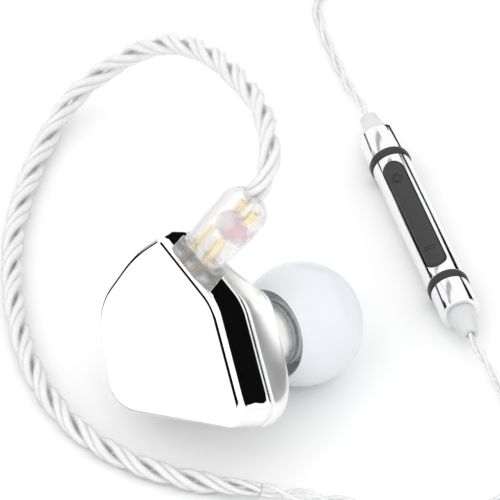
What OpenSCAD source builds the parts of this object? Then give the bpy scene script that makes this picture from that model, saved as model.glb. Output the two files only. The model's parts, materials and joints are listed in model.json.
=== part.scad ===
// In-ear monitor with a detachable ear-hook cable, an in-line remote and a stereo jack.
// The monitor leans back on its rear shell and ear tip; the cable lies on the ground plane.

/* [Monitor pose] */
// Lean of the front face back from upright
lean = 45; // [40:1:50]
// Turn of the front face away from square on
turn = 37; // [30:1:42]
// Height of the face's centre above the ground
seat_height = 13.2; // [12:0.05:15]

/* [Front cover] */
// Radius of the rounded edge, and thickness of the walls
edge_r = 0.7; // [0.6:0.05:0.8]
// Depth of the front cover's side wall behind the face
cover_depth = 5; // [4.8:0.1:5.1]
// Depth of the mid ring
ring_depth = 0.9; // [0.6:0.1:1.2]

/* [Rear shell] */
// Depth of the rear shell's flat back at the nozzle
back_depth = 10; // [9.5:0.1:10.5]
// Wall thickness of the rear shell
shell_wall = 0.9; // [0.8:0.05:1]

/* [Nozzle and ear tip] */
// Angle of the nozzle towards the plug's side of the shell
nozzle_toe = 11; // [8:1:14]
// Angle of the nozzle upwards
nozzle_rise = 14; // [10:1:18]
// Radius of the nozzle's barrel
barrel_r = 3.6; // [3.2:0.05:3.7]
// Length of the nozzle's barrel
barrel_length = 3.2; // [2.8:0.1:3.6]
// Radius of the ear tip's dome
tip_r = 6.75; // [6:0.05:7]
// Thickness of the ear tip's skirt
tip_skin = 0.5; // [0.4:0.05:0.7]

/* [Connector] */
// Lean of the connector behind the face
plug_lean = 5; // [3:1:6]
// Width of the plug housing
plug_w = 5.5; // [5.2:0.1:5.7]
// Thickness of the plug housing
plug_t = 3.5; // [3.3:0.1:3.7]
// Length of the plug housing
plug_l = 9.1; // [9:0.1:10.5]
// Radius of the contact pins
pin_r = 0.39; // [0.36:0.01:0.42]
// Distance between the pins
pin_pitch = 2; // [1.9:0.05:2.4]
// How far the pins reach into the socket
pin_reach = 2.8; // [2.4:0.1:3]

/* [Driver] */
// Radius of the driver
driver_r = 5; // [4.6:0.1:5]
// Radius of the magnet
magnet_r = 2.3; // [2:0.05:2.3]
// Radius of the voice coil's winding, inside
coil_r = 2.45; // [2.42:0.01:2.46]

/* [Cable] */
// Radius of the twisted ear-hook cable
hook_r = 1.25; // [1.1:0.05:1.3]
// Radius of the thin twisted lead
lead_r = 0.55; // [0.5:0.05:0.6]
// Layers of turns in the stored coil
coil_layers = 4; // [2:2:6]
// Turns side by side in each layer of the stored coil
coil_turns = 6; // [4:1:7]

/* [Remote] */
// Radius of the remote's barrel
remote_r = 2.2; // [2.1:0.05:2.4]
// Length of the remote between the strain reliefs
remote_l = 28.4; // [27:0.1:30]
// Length of the key pad
pad_l = 16.6; // [15:0.1:17]
// Width of the key pad
pad_w = 2.3; // [2.1:0.1:2.4]

/* [Jack] */
// Radius of the jack's contacts
jack_r = 1.75; // [1.74:0.01:1.76]
// Length of the jack's contacts from the barrel to the point
jack_l = 14; // [13.8:0.1:14.2]
// Radius of the jack's barrel
jack_body_r = 2.75; // [2.5:0.05:3]
// Length of the jack's barrel
jack_body_l = 16; // [14:0.5:18]

/* [Hidden] */
$fn = 64;

// Clearance between pieces that are assembled together, and for a running fit
gap = 0.05;
fit = 0.02;
eps = 0.01;

// Where the face's centre stands over the ground plane
seat = [-6.3, -2.3, seat_height];

// Flat face: corners [x, y, fillet radius], counter-clockwise seen from the front
face_corners = [
    [-1.7, 9.95, 0.3], [-5, 8.2, 12], [-9.8, 2.9, 5], [-7.8, -7.3, 4], [9.3, -9.4, 1.3], [5.2, 3.05, 6]
];
// Outline at the seam: the same corners, where the side wall ends
seam_corners = [
    [-2.1, 11.35, 0.6], [-5.4, 8.8, 12], [-10.5, 3.1, 5.7], [-8.4, -7.9, 4.7], [10.3, -10.2, 2.2],
    [5.8, 3.4, 6.7]
];
// Flat back of the rear shell: the same corners, further in
back_corners = [
    [0, 7.6, 2], [-3, 5.4, 4], [-6, 2.6, 3], [-2, -3.2, 2.5], [8, -5, 2.8], [7.1, 4.2, 2.4]
];
arc_steps = 8;
bulge_steps = 8;
edge_steps = 4;
seam_z = -cover_depth - ring_depth;

// Nozzle: where its axis leaves the flat back, and the slopes of the back square to that axis
nozzle_base = [3.6, -0.5, -back_depth];
slope_x = tan(nozzle_toe);
slope_y = tan(nozzle_rise) / cos(nozzle_toe);

function unit(v) = v / norm(v);
function lerp(a, b, t) = a + (b - a) * t;
function back_z(p) =
    nozzle_base[2] + slope_x * (p[0] - nozzle_base[0]) + slope_y * (p[1] - nozzle_base[1]);

// Outline with filleted corners, grown outward by grow
function outline(corners, grow, steps) = [
    for (i = [0 : len(corners) - 1])
        let (
            n = len(corners),
            p = [corners[i][0], corners[i][1]],
            before = [corners[(i + n - 1) % n][0], corners[(i + n - 1) % n][1]],
            after = [corners[(i + 1) % n][0], corners[(i + 1) % n][1]],
            r = corners[i][2],
            d1 = unit(p - before),
            d2 = unit(after - p),
            bend = atan2(cross(d1, d2), d1 * d2),
            start = atan2(d1[1], d1[0]) - 90,
            centre = p - d1 * r * tan(bend / 2) - r * [cos(start), sin(start)]
        )
        for (k = [0 : steps])
            centre + (r + grow) * [cos(start + bend * k / steps), sin(start + bend * k / steps)]
];

// Outline lifted to height z
function at_height(ring, z) = [for (p = ring) [p[0], p[1], z]];

// Ring of the rear shell from rim to back at a fraction t of the bulge, short of the back by short
function shell_ring(rim, back, t, short) = [
    for (i = [0 : len(rim) - 1])
        let (p = lerp(rim[i], back[i], 1 - cos(90 * t)))
        [p[0], p[1], lerp(seam_z, back_z(p) + short, sin(90 * t))]
];

// Closed solid through a stack of rings that all have the same number of points
module skin(rings) {
    n = len(rings[0]);
    points = [for (r = rings) for (p = r) p];
    first = [for (j = [n - 1 : -1 : 0]) j];
    last = [for (j = [0 : n - 1]) (len(rings) - 1) * n + j];
    sides = [
        for (i = [0 : len(rings) - 2]) for (j = [0 : n - 1])
            let (k = (j + 1) % n)
            each [
                [i * n + j, i * n + k, (i + 1) * n + k],
                [i * n + j, (i + 1) * n + k, (i + 1) * n + j]
            ]
    ];
    polyhedron(points = points, faces = concat([first], sides, [last]), convexity = 6);
}

// Direction of travel at each point of a route
function heading(route, i) = unit(route[min(i + 1, len(route) - 1)] - route[max(i - 1, 0)]);

// Tube of radius r swept along a route's points
module tube(route, r, sides = 8) {
    skin([
        for (i = [0 : len(route) - 1])
            let (
                t = heading(route, i),
                right = unit(cross(t, [0, 0, 1])),
                up = cross(right, t)
            )
            [
                for (k = [0 : sides - 1])
                    let (a = 360 * k / sides)
                    route[i] + r * (cos(a) * right + sin(a) * up)
            ]
    ]);
}

// Ring-shaped cylinder from z to z + h
module sleeve(r_out, r_in, z, h) {
    translate([0, 0, z]) difference() {
        cylinder(r = r_out, h = h);
        translate([0, 0, -eps]) cylinder(r = r_in, h = h + 2 * eps);
    }
}

// Rectangle w by t with round corners, drawn with true arcs
module round_rect(w, t, r) {
    square([w - 2 * r, t], center = true);
    square([w, t - 2 * r], center = true);
    for (x = [-1, 1], y = [-1, 1]) translate([x * (w / 2 - r), y * (t / 2 - r)]) circle(r = r);
}

// Slot-shaped prism along x, centred, with round ends
module slot(length, width, h) {
    linear_extrude(h) {
        square([length - width, width], center = true);
        for (s = [-1, 1]) translate([s * (length - width) / 2, 0]) circle(r = width / 2);
    }
}

// Frame of the monitor: x across the face, y up it, z out of it
module on_monitor() {
    translate(seat) rotate([lean, 0, 0]) rotate([0, -turn, 0]) children();
}

// Frame of the nozzle: z along its axis, away from the shell
module on_nozzle() {
    on_monitor() translate(nozzle_base) at_nozzle_angle() children();
}

module at_nozzle_angle() {
    rotate([0, -nozzle_toe, 0]) rotate([180 + nozzle_rise, 0, 0]) children();
}

// Frame of the driver: z towards the faceplate, origin on the face's plane
driver_centre = [-1, -1.5, 0];
module on_driver() {
    on_monitor() translate(driver_centre) children();
}

// Frame of the connector: x across the plug, y along the pins away from the shell, z to the face's side
connector_pos = [2.65, 8.55, -2.15];
// The pins stand a little off the middle of the housing
pin_shift = -0.3;
module at_connector() {
    translate(connector_pos) rotate([0, 0, -45]) rotate([-plug_lean, 0, 0]) children();
}

module on_connector() {
    on_monitor() at_connector() children();
}

function pin_x(s) = pin_shift + s * pin_pitch / 2;

// Prism along the connector's y axis from y0 to y1
module connector_prism(w, t, r, y0, y1) {
    translate([0, y0, 0]) rotate([-90, 0, 0]) linear_extrude(y1 - y0) round_rect(w, t, r);
}

// Socket block: a collar in the cover's wall and a thinner body inside it
collar_w = 6;
collar_t = 3.9;
collar_r = 1.4;
collar_y = -1.6;
block_w = 4.6;
block_t = 2.3;
block_y = -3.4;

module socket_shape(extra, top) {
    grow = 2 * extra;
    connector_prism(collar_w + grow, collar_t + grow, collar_r + extra, collar_y - extra, top);
    connector_prism(block_w + grow, block_t + grow, 0.8 + extra, block_y - extra, collar_y);
}

// ---- Monitor: shells ----

flat = outline(face_corners, 0, arc_steps);
seam = outline(seam_corners, 0, arc_steps);
flare_z = -2.8;

module front_cover() color([0.93, 0.93, 0.94]) on_monitor() difference() {
    skin(concat(
        [
            for (k = [0 : edge_steps])
                let (a = 90 * k / edge_steps)
                at_height(outline(face_corners, edge_r * sin(a), arc_steps), -edge_r * (1 - cos(a)))
        ],
        [
            at_height(seam, flare_z), at_height(seam, -cover_depth), at_height(flat, -cover_depth),
            at_height(flat, -edge_r)
        ]
    ));
    at_connector() socket_shape(gap, 2);
}

module mid_ring() color([0.8, 0.8, 0.82]) on_monitor() translate([0, 0, seam_z])
    linear_extrude(ring_depth) difference() {
        polygon(outline(seam_corners, -0.06, arc_steps));
        polygon(flat);
    }

module rear_shell() color([0.72, 0.72, 0.74]) {
    back = outline(back_corners, 0, arc_steps);
    inner_rim = outline(face_corners, -0.2, arc_steps);
    inner_back = outline(back_corners, -shell_wall, arc_steps);
    difference() {
        on_monitor() skin(concat(
            [
                for (k = [bulge_steps : -1 : 0])
                    shell_ring(inner_rim, inner_back, k / bulge_steps, shell_wall + 0.4)
            ],
            [for (k = [0 : bulge_steps]) shell_ring(seam, back, k / bulge_steps, 0)]
        ));
        on_nozzle() translate([0, 0, -5]) cylinder(r = barrel_r + fit, h = 8);
    }
}

// ---- Monitor: nozzle and ear tip ----

neck_r = 2.6;
neck_end = 7.6;
sound_r = 2;
// Length of the barrel that is glued into the shell's back
barrel_root = 2;
mesh_seat = 0.5;
mesh_z = neck_end - mesh_seat;

module nozzle() color([0.78, 0.77, 0.75]) on_nozzle() difference() {
    union() {
        translate([0, 0, -barrel_root]) cylinder(r = barrel_r, h = barrel_length + barrel_root);
        translate([0, 0, barrel_length - eps]) cylinder(r = neck_r, h = neck_end - barrel_length + eps);
    }
    translate([0, 0, -3]) cylinder(r = sound_r, h = 14);
    translate([0, 0, mesh_z]) cylinder(r = sound_r + 0.3, h = 1);
}

module nozzle_mesh() color([0.55, 0.55, 0.57]) on_nozzle() translate([0, 0, mesh_z]) difference() {
    cylinder(r = sound_r + 0.3 - fit, h = 0.2);
    for (x = [-2 : 2], y = [-2 : 2])
        if (norm([x, y]) < 2.3)
            translate([x * 0.62, y * 0.62, -eps]) cylinder(r = 0.2, h = 0.3, $fn = 16);
}

module nozzle_damper() color([0.25, 0.25, 0.27]) on_nozzle()
    translate([0, 0, 1]) cylinder(r = sound_r - gap, h = 2);

// Ear tip: a thin dome that curls back over a thick stem
tip_centre = 6.9;
tip_front = 11.6;
stem_r = 3.6;
tip_seat = barrel_length + gap;

function dome(r, from, to, steps) = [
    for (k = [0 : steps])
        let (a = lerp(from, to, k / steps))
        [r * cos(a), tip_centre + r * sin(a)]
];

module ear_tip() color([0.9, 0.92, 0.94, 0.7]) on_nozzle() rotate_extrude($fn = 96) polygon(concat(
    [[neck_r + gap, tip_seat], [stem_r, tip_seat], [stem_r, 9]],
    dome(tip_r - tip_skin, 38, -42, 16),
    dome(tip_r, -43, 40, 16),
    [[4.3, 11.5], [3.4, tip_front], [2.4, 11.4], [2.1, 10.8]],
    [[2.1, neck_end + gap], [neck_r + gap, neck_end + gap]]
));

// ---- Monitor: socket ----

contact_r = 0.62;
contact_tail = 1;

module socket_block() color([0.85, 0.86, 0.86, 0.5]) on_connector() difference() {
    socket_shape(0, 0);
    for (s = [-1, 1]) translate([pin_x(s), block_y - 1, 0]) rotate([-90, 0, 0])
        cylinder(r = contact_r + fit, h = 6);
}

module socket_contacts() color([0.85, 0.66, 0.3]) on_connector() for (s = [-1, 1])
    translate([pin_x(s), block_y - contact_tail, 0]) rotate([-90, 0, 0]) difference() {
        cylinder(r = contact_r, h = contact_tail - block_y - gap);
        translate([0, 0, contact_tail + 0.2]) cylinder(r = pin_r + fit, h = 6);
    }

// ---- Monitor: driver, from the faceplate's side to the nozzle's side ----

module terminal_board() color([0.1, 0.35, 0.2]) on_driver() translate([0, 0, -1.9]) {
    difference() {
        cylinder(r = 2.8, h = 0.4);
        translate([-4, 1.9, -eps]) cube([8, 2, 1]);
    }
}

module driver_yoke() color([0.5, 0.5, 0.52]) on_driver() difference() {
    translate([0, 0, -4.1]) cylinder(r = 3.4, h = 2.2);
    translate([0, 0, -4.1 - eps]) cylinder(r = 2.75, h = 1.6 + eps);
}

module driver_magnet() color([0.35, 0.35, 0.37]) on_driver()
    translate([0, 0, -3.6]) cylinder(r = magnet_r, h = 1.1);

module pole_plate() color([0.6, 0.6, 0.62]) on_driver()
    translate([0, 0, -4.1]) cylinder(r = magnet_r + 0.05, h = 0.5);

module voice_coil() color([0.72, 0.42, 0.22]) on_driver() sleeve(coil_r + 0.2, coil_r, -4.9, 1.7);

module driver_frame() color([0.2, 0.2, 0.22]) on_driver() {
    sleeve(driver_r, 3.42, -4, 0.6);
    sleeve(driver_r, driver_r - 0.5, -5.3, 1.3 + eps);
}

module diaphragm() color([0.8, 0.8, 0.75]) on_driver() rotate_extrude() polygon([
    [0, -5.5], [1.4, -5.35], [coil_r, -5], [coil_r, -4.9], [coil_r + 0.2, -4.9], [3.1, -5.05], [3.6, -5.25],
    [4.1, -5.05], [4.3, -5.05], [4.3, -5.2], [4.1, -5.2], [3.6, -5.4], [3.1, -5.2], [coil_r + 0.1, -5.1],
    [1.4, -5.5], [0, -5.65]
]);

module driver_grille() color([0.5, 0.5, 0.52]) on_driver() {
    difference() {
        translate([0, 0, -6.2]) cylinder(r = driver_r, h = 0.25);
        for (a = [0 : 60 : 300]) rotate(a) translate([2.6, 0, -7]) cylinder(r = 0.6, h = 2, $fn = 24);
        translate([0, 0, -7]) cylinder(r = 0.8, h = 2, $fn = 24);
    }
    sleeve(driver_r, driver_r - 0.4, -5.95 - eps, 0.65 + eps);
}

module driver_bracket() color([0.15, 0.15, 0.17]) on_monitor() translate([0, 0, -5.2]) linear_extrude(0.6)
    difference() {
        polygon(outline(face_corners, -0.25, arc_steps));
        translate([driver_centre[0], driver_centre[1]]) circle(r = driver_r + fit);
    }

// Two wires from the contacts' tails to the terminal board
wire_r = 0.15;
wire_routes = [
    [[-0.25, 5.65, -1.55], [-1, 4.75, -1.7], [-1.5, 3.6, -1.75], [-1.8, 2.2, -1.6], [-2, 0.8, -1.3]],
    [[1.2, 4.2, -1.55], [0.75, 3.2, -1.7], [0.4, 2.4, -1.75], [0, 1.6, -1.6], [-0.2, 0.6, -1.3]]
];

module internal_wires() color([0.75, 0.2, 0.2]) on_monitor() for (r = wire_routes) tube(r, wire_r);

// ---- Plug on the ear-hook cable ----

cable_offset = -0.35;
glue_r = 1.5;
glue_pos = [0.5, 4.75, 0];
crimp_y = 6.4;
crimp_l = 1.2;
pin_top = 3.2;
bore_depth = 1.1;
// The housing is narrower on one side where it meets the socket
plug_taper = 0.6;
plug_full_y = 4.5;

function crimp_x(s) = 0.5 + s * 0.75;

module pin_bores() for (s = [-1, 1])
    translate([pin_x(s), -1, 0]) rotate([-90, 0, 0]) cylinder(r = pin_r + fit, h = 1 + pin_top + gap);

module plug_housing() color([0.92, 0.92, 0.93, 0.4]) on_connector() difference() {
    intersection() {
        connector_prism(plug_w, plug_t, 1.3, 0.02, plug_l);
        translate([0, 0, -3]) linear_extrude(6) union() {
            polygon([
                [-plug_w / 2, 0], [plug_w / 2 - plug_taper, 0], [plug_w / 2, plug_full_y], [plug_w / 2, plug_l - 2.3],
                [-plug_w / 2, plug_l - 2.3]
            ]);
            translate([0, plug_l - 3]) round_rect(plug_w, 6, 2.3);
        }
        translate([-4, 0, 0]) rotate([90, 0, 90]) linear_extrude(8) union() {
            translate([-1, -3]) square([plug_l - 0.5, 6]);
            translate([plug_l - 3, 0]) round_rect(6, plug_t, 1.2);
        }
    }
    pin_bores();
    translate(glue_pos) sphere(r = glue_r + fit);
    for (s = [-1, 1]) translate([crimp_x(s), glue_pos[1], 0]) rotate([-90, 0, 0])
        cylinder(r = 0.55, h = crimp_y + crimp_l + gap - glue_pos[1]);
    translate([cable_offset, plug_l - bore_depth, 0]) rotate([-90, 0, 0])
        cylinder(r = hook_r + 0.12, h = 3);
}

module plug_pins() color([0.88, 0.68, 0.3]) on_connector() for (s = [-1, 1])
    translate([pin_x(s), -pin_reach, 0]) rotate([-90, 0, 0]) {
        cylinder(r1 = pin_r - 0.15, r2 = pin_r, h = 0.3);
        translate([0, 0, 0.3 - eps]) cylinder(r = pin_r, h = pin_reach + pin_top - 0.3);
    }

module plug_glue() color([0.95, 0.88, 0.88]) on_connector() difference() {
    translate(glue_pos) sphere(r = glue_r);
    pin_bores();
}

module plug_crimps() color([0.88, 0.68, 0.3]) on_connector() for (s = [-1, 1])
    translate([crimp_x(s), crimp_y, 0]) rotate([-90, 0, 0]) sleeve(0.5, 0.3, 0, crimp_l);

// ---- Ear-hook cable and thin lead ----

// Centre line of the ear-hook cable, from the plug over and down to the ground and round the loop
hook_route = [
    [2.15, 6.25, 25.5], [3.4, 6.75, 27], [4.2, 9, 28.6], [4.1, 12.4, 28.6], [3.1, 18.6, 27.1],
    [1, 24.8, 24.7], [-1.7, 31.8, 21.3], [-4.5, 37, 18], [-7.3, 40.8, 14.7], [-10.1, 43.4, 11.1],
    [-12.9, 44.8, 7.6], [-15.5, 45.2, 4.6], [-17.8, 44, 2.4], [-19.6, 40.8, 1.4], [-21, 37, 1.25],
    [-22.5, 31.3, 1.25], [-23.5, 25.3, 1.25], [-23.7, 19.3, 1.25], [-23.2, 12.8, 1.25],
    [-21.9, 6.3, 1.25], [-19.3, -0.2, 1.25], [-15.3, -5.8, 1.25], [-9.7, -10, 1.25],
    [-3.5, -12.4, 1.25], [3.3, -13.6, 1.25]
];

// Centre line of the lead from the ear hook to the remote
ear_route = [
    [3.3, -13.6, 1.25], [6.9, -14.3, 1.15], [10.3, -14.8, 0.9], [13.5, -15.5, 0.7],
    [16.7, -16.4, 0.55], [20.1, -17.1, 0.55], [23.6, -17.1, 0.55], [26.9, -15.8, 0.55],
    [29.5, -13.4, 0.55], [30.9, -10.2, 0.55], [31.3, -6.7, 0.55], [30.9, -3.2, 0.55], [29.9, 0, 0.6],
    [28.7, 2.7, 0.9], [27.6, 4.9, 1.6], [26.5, 6.8, 2.2], [25.9, 8.6, 2.32]
];

// Centre line of the lead from the remote to the stored coil
plug_route = [
    [15.1, 41.8, 2.32], [14.5, 43.7, 2.15], [13.7, 46.2, 1.5], [12.7, 49.1, 0.8], [11.7, 52.2, 0.55],
    [10.7, 55.4, 0.55], [9.8, 58.6, 0.55], [9.5, 61.8, 0.55], [10.7, 64.6, 0.55], [13.1, 66.1, 0.55],
    [16.1, 67.4, 0.55], [18.8, 69.8, 0.55], [20.3, 73.2, 0.55]
];

// Centre line of the lead from the stored coil to the jack
jack_route = [[9.3, 85.8, 3.85], [7.9, 85.8, 3.7], [6.7, 85.8, 3.2], [5.6, 85.8, 2.85], [4.4, 85.8, 2.75]];

module ear_hook_cable() color([0.9, 0.9, 0.91, 0.8]) tube(hook_route, hook_r);

module ear_lead() color([0.9, 0.9, 0.91, 0.8]) tube(ear_route, lead_r);

module plug_lead() color([0.9, 0.9, 0.91, 0.8]) tube(plug_route, lead_r);

module jack_lead() color([0.9, 0.9, 0.91, 0.8]) tube(jack_route, lead_r);

// ---- Remote, lying on the ground plane ----

remote_pos = [20.5, 25.2, remote_r + 0.12];
remote_heading = 108;
remote_roll = -17;
relief_l = 3.3;
cap_l = 3.7;
band_l = 1.15;
bore_r = 1.9;
barrel_l = remote_l - 2 * (cap_l + band_l);

// Frame of the remote: x along it from the ear lead's end, z out through the key pad, origin at its middle
module on_remote() {
    translate(remote_pos) rotate([0, 0, remote_heading]) rotate([remote_roll, 0, 0]) children();
}

// Turns a piece drawn along z so that it starts at x and runs outward in the direction side
module remote_end(x, side) {
    translate([side * x, 0, 0]) rotate([0, side * 90, 0]) children();
}

module remote_relief(side) remote_end(remote_l / 2, side) difference() {
    cylinder(r1 = 1.55, r2 = 1, h = relief_l);
    translate([0, 0, -eps]) cylinder(r = 0.5, h = 5);
}

module remote_cap(side) remote_end(barrel_l / 2 + band_l, side) difference() {
    union() {
        cylinder(r = remote_r, h = cap_l - 0.15);
        translate([0, 0, cap_l - 0.15 - eps]) cylinder(r1 = remote_r, r2 = remote_r - 0.15, h = 0.15 + eps);
        translate([0, 0, -band_l - 1]) cylinder(r = bore_r - fit, h = band_l + 1 + eps);
    }
    translate([0, 0, -band_l - 2]) cylinder(r = 1.2, h = band_l + 2 + cap_l - 0.8);
    cylinder(r = 0.7, h = 8);
}

module remote_ring(side) remote_end(barrel_l / 2, side) rotate_extrude() polygon([
    [bore_r, 0], [remote_r + 0.02, 0], [remote_r + 0.12, 0.15], [remote_r + 0.12, band_l - 0.15],
    [remote_r + 0.02, band_l], [bore_r, band_l]
]);

module remote_relief_lower() color([0.92, 0.92, 0.93, 0.8]) on_remote() remote_relief(-1);

module remote_relief_upper() color([0.92, 0.92, 0.93, 0.8]) on_remote() remote_relief(1);

module remote_cap_lower() color([0.85, 0.85, 0.87]) on_remote() remote_cap(-1);

module remote_cap_upper() color([0.85, 0.85, 0.87]) on_remote() remote_cap(1);

module remote_ring_lower() color([0.1, 0.1, 0.1]) on_remote() remote_ring(-1);

module remote_ring_upper() color([0.1, 0.1, 0.1]) on_remote() remote_ring(1);

mic_x = 7.3;
module remote_barrel() color([0.85, 0.85, 0.87]) on_remote() difference() {
    rotate([0, 90, 0]) cylinder(r = remote_r, h = barrel_l, center = true);
    rotate([0, 90, 0]) cylinder(r = bore_r, h = barrel_l + 1, center = true);
    slot(pad_l + 0.3, pad_w + 0.3, 5);
    translate([mic_x, 0, -3]) cylinder(r = 0.3, h = 2, $fn = 24);
}

// Key pad: a curved rocker with a foot over each end switch and a hinge lug in the middle
hinge_z = 0.9;
hinge_r = 0.25;
foot_x = 6;
module remote_key_pad() color([0.12, 0.12, 0.12]) on_remote() difference() {
    union() {
        intersection() {
            rotate([0, 90, 0]) sleeve(remote_r + 0.15, 1.6, -pad_l / 2, pad_l);
            slot(pad_l, pad_w, 5);
        }
        for (x = [-foot_x, foot_x]) translate([x, 0, 0.1]) cylinder(r = 0.4, h = 1.6, $fn = 32);
        for (y = [-0.8, 0.5]) translate([-0.5, y, 0.5]) cube([1, 0.3, 1.2]);
    }
    translate([0, 0, hinge_z]) rotate([90, 0, 0]) cylinder(r = hinge_r + fit, h = 4, center = true);
}

module remote_key_carrier() color([0.3, 0.3, 0.32]) on_remote() {
    translate([0, 0, hinge_z]) rotate([90, 0, 0]) cylinder(r = hinge_r, h = 1.55, center = true);
    translate([-0.4, -0.4, 0]) cube([0.8, 0.8, hinge_z]);
}

board_z = -1.3;
board_t = 0.35;
switch_h = 0.4;
module remote_circuit_board() color([0.1, 0.35, 0.2]) on_remote()
    translate([-8.2, -1.3, board_z]) cube([16.4, 2.6, board_t]);

module remote_switches() color([0.6, 0.6, 0.6]) on_remote() for (x = [-foot_x, 0, foot_x])
    translate([x, 0, board_z + board_t]) {
        translate([-0.9, -0.9, 0]) cube([1.8, 1.8, switch_h - 0.1]);
        cylinder(r = 0.5, h = switch_h);
    }

module remote_microphone() color([0.75, 0.75, 0.77]) on_remote()
    translate([mic_x, 0, board_z - 0.4]) cylinder(r = 0.7, h = 0.4, $fn = 32);

// ---- Stored coil and its tie ----

coil_centre = [11.9, 76.8, 0];
coil_mid_r = 6;
coil_half = coil_turns * lead_r;
coil_h = 2 * coil_layers * lead_r;
tie_angle = 190;
tie_t = 0.35;
coil_z = tie_t + gap;
module cable_coil() color([0.9, 0.9, 0.91, 0.8]) translate(coil_centre) rotate_extrude($fn = 96)
    translate([coil_mid_r, coil_z + coil_h / 2]) round_rect(2 * coil_half, coil_h, lead_r);

// Band wrapped once round the section of the coil
module cable_tie() color([0.2, 0.2, 0.21]) translate(coil_centre) rotate(tie_angle)
    rotate_extrude(angle = 30) translate([coil_mid_r, coil_z + coil_h / 2]) difference() {
        round_rect(2 * (coil_half + gap + tie_t), coil_h + 2 * (gap + tie_t), lead_r + gap + tie_t);
        round_rect(2 * (coil_half + gap), coil_h + 2 * gap, lead_r + gap);
    }

// ---- Jack, lying along -x behind the coil ----

jack_pos = [4.4, 85.8, jack_body_r];
jack_relief_l = 6;
core_r = 1.1;
washer = 0.5;
sleeve_l = 6;
ring_l = 2;
// Where each insulating washer starts along the contacts
washers = [sleeve_l, sleeve_l + washer + ring_l, sleeve_l + 2 * (washer + ring_l)];
tip_start = washers[2] + washer;

// Frame of the jack: z from the cable's entry to the point
module on_jack() {
    translate(jack_pos) rotate([0, -90, 0]) children();
}

// Frame of the contacts: origin where they leave the barrel
module on_contacts() {
    on_jack() translate([0, 0, jack_relief_l + jack_body_l]) children();
}

module jack_relief() color([0.92, 0.92, 0.93, 0.8]) on_jack() difference() {
    cylinder(r1 = 1, r2 = 1.8, h = jack_relief_l);
    translate([0, 0, -eps]) cylinder(r = 0.5, h = jack_relief_l + 1);
}

module jack_barrel() color([0.85, 0.85, 0.87]) on_jack() translate([0, 0, jack_relief_l]) difference() {
    union() {
        cylinder(r1 = jack_body_r - 0.3, r2 = jack_body_r, h = 0.3);
        translate([0, 0, 0.3 - eps]) cylinder(r = jack_body_r, h = jack_body_l - 0.8 + eps);
        translate([0, 0, jack_body_l - 0.51]) cylinder(r1 = jack_body_r, r2 = jack_body_r - 0.3, h = 0.5);
    }
    translate([0, 0, 1]) cylinder(r = 2, h = jack_body_l - 2);
    translate([0, 0, -1]) cylinder(r = 0.6, h = 3);
    translate([0, 0, jack_body_l - 2]) cylinder(r = core_r + fit, h = 3);
}

module jack_insulators() color([0.08, 0.08, 0.08]) on_contacts() {
    translate([0, 0, -3]) cylinder(r = core_r, h = 3 + tip_start);
    for (z = washers) translate([0, 0, z]) cylinder(r = jack_r, h = washer);
}

module jack_sleeve() color([0.88, 0.68, 0.3]) on_contacts() sleeve(jack_r, core_r + fit, eps, sleeve_l - eps);

module jack_rings() color([0.88, 0.68, 0.3]) on_contacts() for (k = [0, 1])
    sleeve(jack_r, core_r + fit, washers[k] + washer, ring_l);

module jack_tip() color([0.88, 0.68, 0.3]) on_contacts() translate([0, 0, tip_start])
    rotate_extrude() polygon([
        [0, 0], [jack_r, 0], [jack_r, 0.5], [1.25, 1.1], [1.25, 1.3], [1.6, 1.8], [1.5, 2.1],
        [0.5, jack_l - tip_start], [0, jack_l - tip_start]
    ]);

front_cover();
mid_ring();
rear_shell();
nozzle();
nozzle_mesh();
nozzle_damper();
ear_tip();
socket_block();
socket_contacts();
driver_bracket();
driver_frame();
driver_yoke();
driver_magnet();
pole_plate();
voice_coil();
diaphragm();
driver_grille();
terminal_board();
internal_wires();
plug_housing();
plug_pins();
plug_glue();
plug_crimps();
ear_hook_cable();
ear_lead();
remote_relief_lower();
remote_cap_lower();
remote_ring_lower();
remote_barrel();
remote_ring_upper();
remote_cap_upper();
remote_relief_upper();
remote_key_pad();
remote_key_carrier();
remote_circuit_board();
remote_switches();
remote_microphone();
plug_lead();
cable_coil();
cable_tie();
jack_lead();
jack_relief();
jack_barrel();
jack_insulators();
jack_sleeve();
jack_rings();
jack_tip();
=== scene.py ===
# The looks of an in ear monitor, its ear-hook cable and its in-line remote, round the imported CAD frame.
# Lengths are in millimetres until a mesh is finished; the floor, the cards and the light are in metres.
import json
import math

import bmesh
import bpy
import numpy as np
from mathutils import Matrix, Vector, noise


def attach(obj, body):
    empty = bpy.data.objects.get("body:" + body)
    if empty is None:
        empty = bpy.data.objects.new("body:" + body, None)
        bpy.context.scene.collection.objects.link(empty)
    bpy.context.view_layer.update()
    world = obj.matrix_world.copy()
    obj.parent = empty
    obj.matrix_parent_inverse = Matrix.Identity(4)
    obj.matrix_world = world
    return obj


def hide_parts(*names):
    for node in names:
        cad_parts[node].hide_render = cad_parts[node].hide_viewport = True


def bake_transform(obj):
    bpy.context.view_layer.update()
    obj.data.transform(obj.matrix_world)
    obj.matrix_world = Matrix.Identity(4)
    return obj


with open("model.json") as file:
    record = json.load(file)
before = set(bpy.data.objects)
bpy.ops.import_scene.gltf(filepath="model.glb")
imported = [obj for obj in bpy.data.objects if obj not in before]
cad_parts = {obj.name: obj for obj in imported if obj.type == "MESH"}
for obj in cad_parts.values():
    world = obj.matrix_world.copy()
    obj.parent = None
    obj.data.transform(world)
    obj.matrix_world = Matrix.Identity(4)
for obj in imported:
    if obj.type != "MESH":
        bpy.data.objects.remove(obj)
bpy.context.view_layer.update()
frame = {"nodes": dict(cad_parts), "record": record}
MM = 0.001
QUARTER = math.pi / 2

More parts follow.
